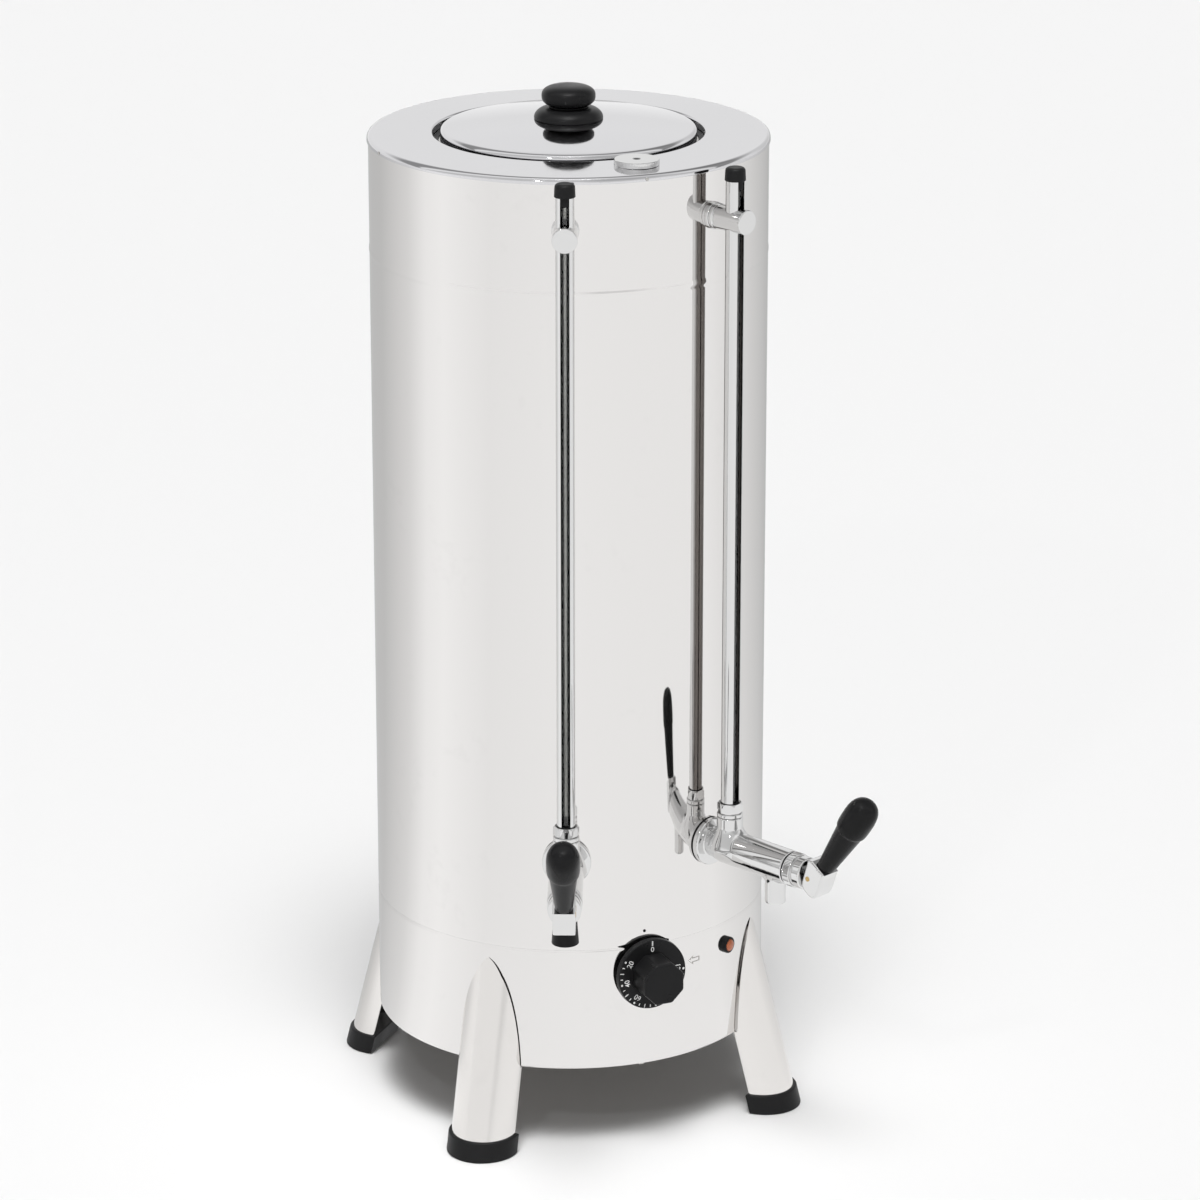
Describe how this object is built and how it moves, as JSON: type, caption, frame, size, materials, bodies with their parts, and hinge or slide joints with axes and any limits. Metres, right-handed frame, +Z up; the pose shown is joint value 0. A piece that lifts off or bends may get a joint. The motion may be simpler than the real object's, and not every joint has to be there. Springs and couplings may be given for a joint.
{
  "type": "coffee urn",
  "caption": "Tall cylindrical coffee urn on splayed channel legs, with lift-off lid, filler cap, lever taps, sight gauges, thermostat dial and pilot lamp.",
  "frame": {"origin": "urn axis in the floor plane under the feet", "axes": "+Z up along the urn axis, -Y towards the front with the dial and taps, +X to the right as seen from the front"},
  "size_m": [0.334, 0.489, 0.878],
  "materials": {
    "polished_steel": "mirror polished stainless sheet",
    "inner_steel": "plain mill finish",
    "chrome": "bright chrome plate",
    "screw_steel": "plated screw steel",
    "brass": "turned brass",
    "black_plastic": "satin black thermoset",
    "black_rubber": "matt black rubber",
    "clear_glass": "clear drawn glass",
    "amber_lens": "translucent amber lens",
    "pale_plastic": "moulded pale plastic"
  },
  "bodies": {
    "urn": {"body_shell": "polished_steel", "base_skirt": "polished_steel", "top_deck": "polished_steel", "rim_rivets": "screw_steel", "coffee_vessel": "inner_steel", "jacket_floor": "inner_steel", "base_cover": "inner_steel", "cover_screws": "screw_steel", "leg_front_left": "polished_steel", "leg_front_right": "polished_steel", "leg_rear_left": "polished_steel", "leg_rear_right": "polished_steel", "rubber_feet": "black_rubber", "filler_neck": "chrome", "coffee_pipe": "inner_steel", "heating_element": "inner_steel", "element_nuts": "brass", "thermostat_body": "pale_plastic", "pilot_bezel": "black_plastic", "pilot_lens": "amber_lens", "cord_grommet": "black_rubber", "coffee_tap_body": "chrome", "water_tap_body": "chrome", "coffee_nozzle": "black_plastic", "tap_flanges": "chrome", "tap_gaskets": "black_rubber", "tap_locknuts": "brass", "coffee_bonnet": "chrome", "water_bonnet": "chrome", "bonnet_orings": "black_rubber", "coffee_spring": "inner_steel", "water_spring": "inner_steel", "coffee_guard_tube": "chrome", "water_guard_tube": "chrome", "coffee_sight_glass": "clear_glass", "water_sight_glass": "clear_glass", "gauge_caps": "black_rubber", "coffee_gauge_bracket": "chrome", "water_gauge_bracket": "chrome", "bracket_nuts": "brass", "gland_nuts": "chrome", "gauge_seals": "black_rubber"},
    "lid": {"lid": "polished_steel", "lid_knob": "black_plastic", "knob_screw": "screw_steel"},
    "filler_cap": {"filler_cap": "chrome"},
    "coffee_stem": {"coffee_stem": "chrome", "coffee_valve_disc": "black_rubber"},
    "water_stem": {"water_stem": "chrome", "water_valve_disc": "black_rubber"},
    "coffee_lever": {"coffee_lever_head": "chrome", "coffee_lever_pin": "brass", "coffee_lever_grip": "black_plastic"},
    "water_lever": {"water_lever_head": "chrome", "water_lever_pin": "brass", "water_lever_grip": "black_plastic"},
    "dial": {"thermostat_dial": "black_plastic", "dial_spindle": "screw_steel"}
  },
  "joints": [
    {"name": "lid_lift", "type": "slide", "parent": "urn", "child": "lid", "axis": [0, 0, 1], "range_m": [0, 0.15]},
    {"name": "filler_pull", "type": "slide", "parent": "urn", "child": "filler_cap", "axis": [0, 0, 1], "range_m": [0, 0.05]},
    {"name": "coffee_stem_slide", "type": "slide", "parent": "urn", "child": "coffee_stem", "axis": [-0.3907, -0.9205, 0], "range_m": [0, 0.005], "deforming": ["coffee_spring"]},
    {"name": "coffee_lever_tilt", "type": "hinge", "parent": "coffee_stem", "child": "coffee_lever", "pos_m": [-0.11097, -0.26142, 0.26], "axis": [0.9205, -0.3907, 0], "range_deg": [0, 56], "stiffness_Nm_per_rad": 0.03, "springref_deg": -34.38},
    {"name": "water_stem_slide", "type": "slide", "parent": "urn", "child": "water_stem", "axis": [0.3907, -0.9205, 0], "range_m": [0, 0.005], "deforming": ["water_spring"]},
    {"name": "water_lever_tilt", "type": "hinge", "parent": "water_stem", "child": "water_lever", "pos_m": [0.11097, -0.26142, 0.26], "axis": [0.9205, 0.3907, 0], "range_deg": [0, 56], "stiffness_Nm_per_rad": 0.03, "springref_deg": -34.38},
    {"name": "dial_turn", "type": "hinge", "parent": "urn", "child": "dial", "pos_m": [0.0044, -0.17995, 0.156], "axis": [-0.0244, 0.9997, 0], "range_deg": [0, 275]}
  ],
  "couplings": [
    {"joint": "coffee_stem_slide", "follows": "coffee_lever_tilt", "m_per_rad": 0.0051157},
    {"joint": "water_stem_slide", "follows": "water_lever_tilt", "m_per_rad": 0.0051157}
  ]
}
